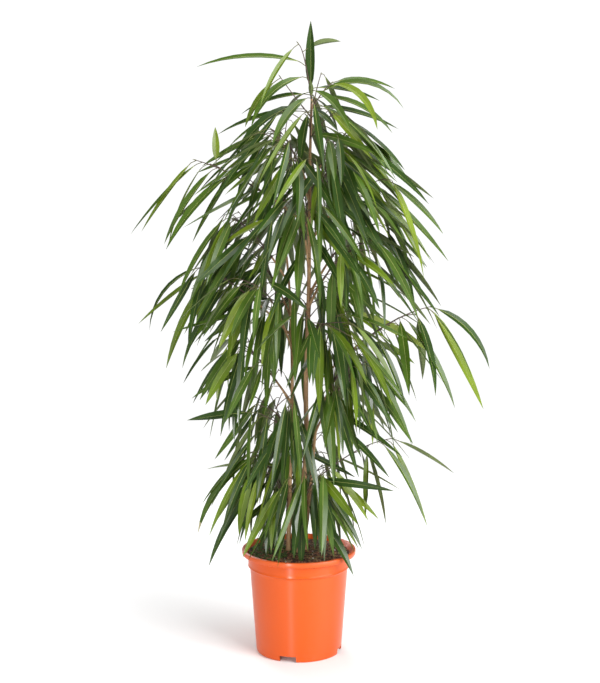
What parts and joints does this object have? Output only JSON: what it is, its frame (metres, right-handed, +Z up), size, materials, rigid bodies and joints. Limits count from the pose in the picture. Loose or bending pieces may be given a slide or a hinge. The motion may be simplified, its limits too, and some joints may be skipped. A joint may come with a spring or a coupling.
{
  "type": "potted narrow-leaf fig",
  "caption": "Tall potted fig with thin upright stems and long narrow hanging leaves, standing in a round tapered nursery pot filled with soil.",
  "frame": {"origin": "centre of the flat pad under the pot, on the plane that the pot stands on", "axes": "+Z up along the pot's axis, -Y towards the front of the plant, +X to the right seen from the front"},
  "size_m": [0.6509, 0.4521, 1.1484],
  "materials": {
    "pot_plastic": "orange moulded polypropylene with a soft gloss",
    "potting_soil": "dark moist compost with bits of bark and white grains",
    "bark": "thin grey-brown bark, smooth and dull",
    "leaves": "deep green leathery leaves with a soft sheen and a pale midrib"
  },
  "bodies": {
    "root": {"bough_high_back": "bark", "bough_high_back_right": "bark", "bough_high_front": "bark", "bough_high_front_right": "bark", "bough_high_left": "bark", "bough_high_right": "bark", "bough_lower_back_right": "bark", "bough_lower_front_right": "bark", "bough_lower_left": "bark", "bough_middle_back": "bark", "bough_middle_back_left": "bark", "bough_middle_front": "bark", "bough_middle_front_left": "bark", "bough_middle_left": "bark", "bough_middle_right": "bark", "bough_upper_back_left": "bark", "bough_upper_back_right": "bark", "bough_upper_front_left": "bark", "bough_upper_front_right": "bark", "bough_upper_left": "bark", "bough_upper_right": "bark", "foliage_base_back": "leaves", "foliage_base_front": "leaves", "foliage_base_left": "leaves", "foliage_base_right": "leaves", "foliage_crest_back": "leaves", "foliage_crest_front": "leaves", "foliage_crest_left": "leaves", "foliage_crest_right": "leaves", "foliage_crest_top": "leaves", "foliage_high_back": "leaves", "foliage_high_back_right": "leaves", "foliage_high_front": "leaves", "foliage_high_front_right": "leaves", "foliage_high_left": "leaves", "foliage_high_right": "leaves", "foliage_leader_left": "leaves", "foliage_leader_right": "leaves", "foliage_lower_back_left": "leaves", "foliage_lower_back_right": "leaves", "foliage_lower_front_left": "leaves", "foliage_lower_front_right": "leaves", "foliage_lower_left": "leaves", "foliage_middle_back": "leaves", "foliage_middle_back_left": "leaves", "foliage_middle_front": "leaves", "foliage_middle_front_left": "leaves", "foliage_middle_left": "leaves", "foliage_middle_right": "leaves", "foliage_upper_back_left": "leaves", "foliage_upper_back_right": "leaves", "foliage_upper_front_left": "leaves", "foliage_upper_front_right": "leaves", "foliage_upper_left": "leaves", "foliage_upper_right": "leaves", "pot": "pot_plastic", "soil": "potting_soil", "stem_left": "bark", "stem_main": "bark", "stem_right": "bark"}
  },
  "joints": []
}
